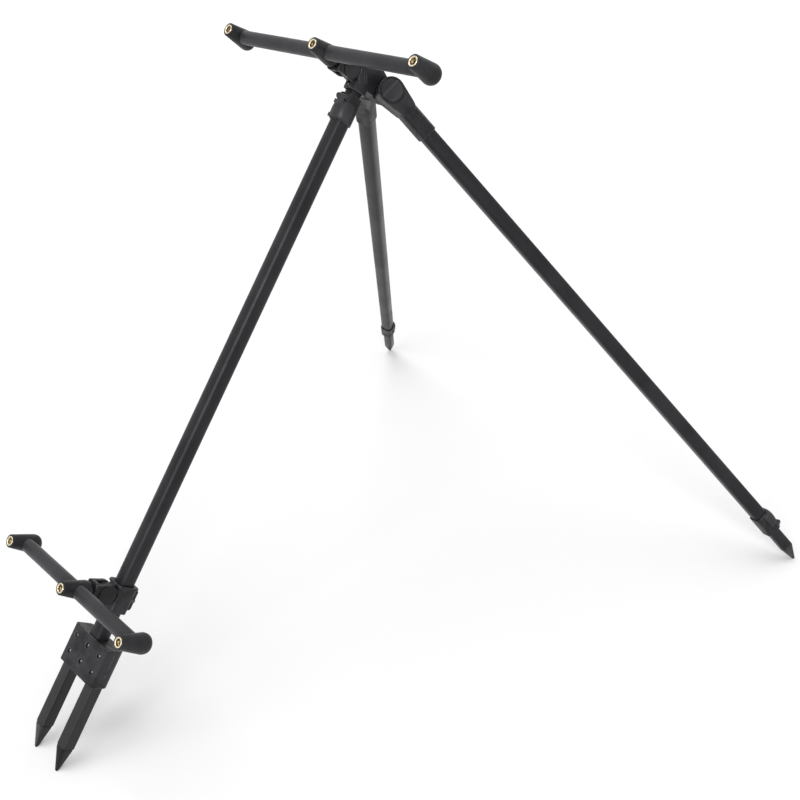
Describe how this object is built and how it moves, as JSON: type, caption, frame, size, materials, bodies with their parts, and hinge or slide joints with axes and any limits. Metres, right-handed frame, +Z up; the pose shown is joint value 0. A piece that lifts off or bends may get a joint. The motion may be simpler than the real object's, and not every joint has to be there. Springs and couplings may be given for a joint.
{
  "type": "rod tripod",
  "caption": "Folding tripod for fishing rods: a forked front leg with two tilting cross bars of threaded holders, and two rear legs with cam locks and spikes.",
  "frame": {"origin": "middle of the footprint's box, on the ground", "axes": "+Z up, +X along the cross bars towards the right-hand rear leg, +Y from the forked front leg towards the rear legs"},
  "size_m": [0.9792, 1.0732, 0.7897],
  "materials": {
    "moulded_plastic": "charcoal moulded nylon with a fine grain",
    "foot_plastic": "black moulded nylon, scuffed at the point",
    "tube_paint": "satin graphite coat on square aluminium tube",
    "insert_brass": "turned, bright",
    "steel": "plated screws, bolts and pins"
  },
  "bodies": {
    "head": {"head_body": "moulded_plastic", "front_inner_tube": "tube_paint", "head_leg_screw": "steel", "top_tilt_pin": "steel", "left_hinge_bolt": "steel", "right_hinge_bolt": "steel"},
    "top_bar_set": {"top_bracket": "moulded_plastic", "top_bar": "tube_paint", "top_holder_left": "moulded_plastic", "top_holder_middle": "moulded_plastic", "top_holder_right": "moulded_plastic", "top_insert_left": "insert_brass", "top_insert_middle": "insert_brass", "top_insert_right": "insert_brass"},
    "front_leg": {"front_outer_tube": "tube_paint", "front_lock_collar": "moulded_plastic", "front_lock_pin": "steel", "fork_front": "moulded_plastic", "fork_back": "moulded_plastic", "fork_screw_1": "steel", "fork_screw_2": "steel", "fork_screw_3": "steel", "fork_screw_4": "steel", "fork_screw_5": "steel", "fork_screw_6": "steel", "fork_spike_left": "tube_paint", "fork_spike_right": "tube_paint", "fork_tip_left": "foot_plastic", "fork_tip_right": "foot_plastic"},
    "front_lever": {"front_lock_lever": "moulded_plastic"},
    "butt_clamp": {"butt_clamp": "moulded_plastic", "butt_pinch_bolt": "steel", "butt_tilt_pin": "steel"},
    "butt_bar_set": {"butt_bracket": "moulded_plastic", "butt_bar": "tube_paint", "butt_holder_left": "moulded_plastic", "butt_holder_middle": "moulded_plastic", "butt_holder_right": "moulded_plastic", "butt_insert_left": "insert_brass", "butt_insert_middle": "insert_brass", "butt_insert_right": "insert_brass"},
    "left_leg": {"left_knuckle": "moulded_plastic", "left_hinge_cap": "moulded_plastic", "left_outer_tube": "tube_paint", "left_lock_collar": "moulded_plastic", "left_lock_pin": "steel"},
    "left_lever": {"left_lock_lever": "moulded_plastic"},
    "left_spike": {"left_inner_tube": "tube_paint", "left_foot_tip": "foot_plastic"},
    "right_leg": {"right_knuckle": "moulded_plastic", "right_hinge_cap": "moulded_plastic", "right_outer_tube": "tube_paint", "right_lock_collar": "moulded_plastic", "right_lock_pin": "steel"},
    "right_lever": {"right_lock_lever": "moulded_plastic"},
    "right_spike": {"right_inner_tube": "tube_paint", "right_foot_tip": "foot_plastic"}
  },
  "joints": [
    {"name": "top_bar_tilt", "type": "hinge", "parent": "head", "child": "top_bar_set", "pos_m": [0.00187, 0.03562, 0.74822], "axis": [1, 0, 0], "range_deg": [-35, 10]},
    {"name": "front_extension", "type": "slide", "parent": "head", "child": "front_leg", "axis": [0, -0.6338, -0.7735], "range_m": [-0.003, 0.25]},
    {"name": "front_lever_swing", "type": "hinge", "parent": "front_leg", "child": "front_lever", "pos_m": [0.00187, 0.02622, 0.71442], "axis": [-1, 0, 0], "range_deg": [0, 90]},
    {"name": "butt_clamp_slide", "type": "slide", "parent": "front_leg", "child": "butt_clamp", "axis": [0, -0.6338, -0.7735], "range_m": [-0.55, 0.028]},
    {"name": "butt_bar_tilt", "type": "hinge", "parent": "butt_clamp", "child": "butt_bar_set", "pos_m": [0.00187, -0.41388, 0.1954], "axis": [1, 0, 0], "range_deg": [-32, 12]},
    {"name": "left_leg_fold", "type": "hinge", "parent": "head", "child": "left_leg", "pos_m": [-0.02233, 0.08264, 0.71267], "axis": [-0.864, -0.3895, 0.3191], "range_deg": [0, 73]},
    {"name": "left_lever_swing", "type": "hinge", "parent": "left_leg", "child": "left_lever", "pos_m": [-0.43968, 0.49686, 0.08826], "axis": [-0.864, -0.3895, 0.3191], "range_deg": [0, 90]},
    {"name": "left_extension", "type": "slide", "parent": "left_leg", "child": "left_spike", "axis": [-0.4845, 0.4707, -0.7374], "range_m": [-0.035, 0.25]},
    {"name": "right_leg_fold", "type": "hinge", "parent": "head", "child": "right_leg", "pos_m": [0.02607, 0.08264, 0.71267], "axis": [-0.8492, 0.4084, -0.3347], "range_deg": [0, 70]},
    {"name": "right_lever_swing", "type": "hinge", "parent": "right_leg", "child": "right_lever", "pos_m": [0.4557, 0.44518, 0.06487], "axis": [-0.8492, 0.4084, -0.3347], "range_deg": [0, 90]},
    {"name": "right_extension", "type": "slide", "parent": "right_leg", "child": "right_spike", "axis": [0.4982, 0.41, -0.7639], "range_m": [-0.025, 0.25]}
  ]
}
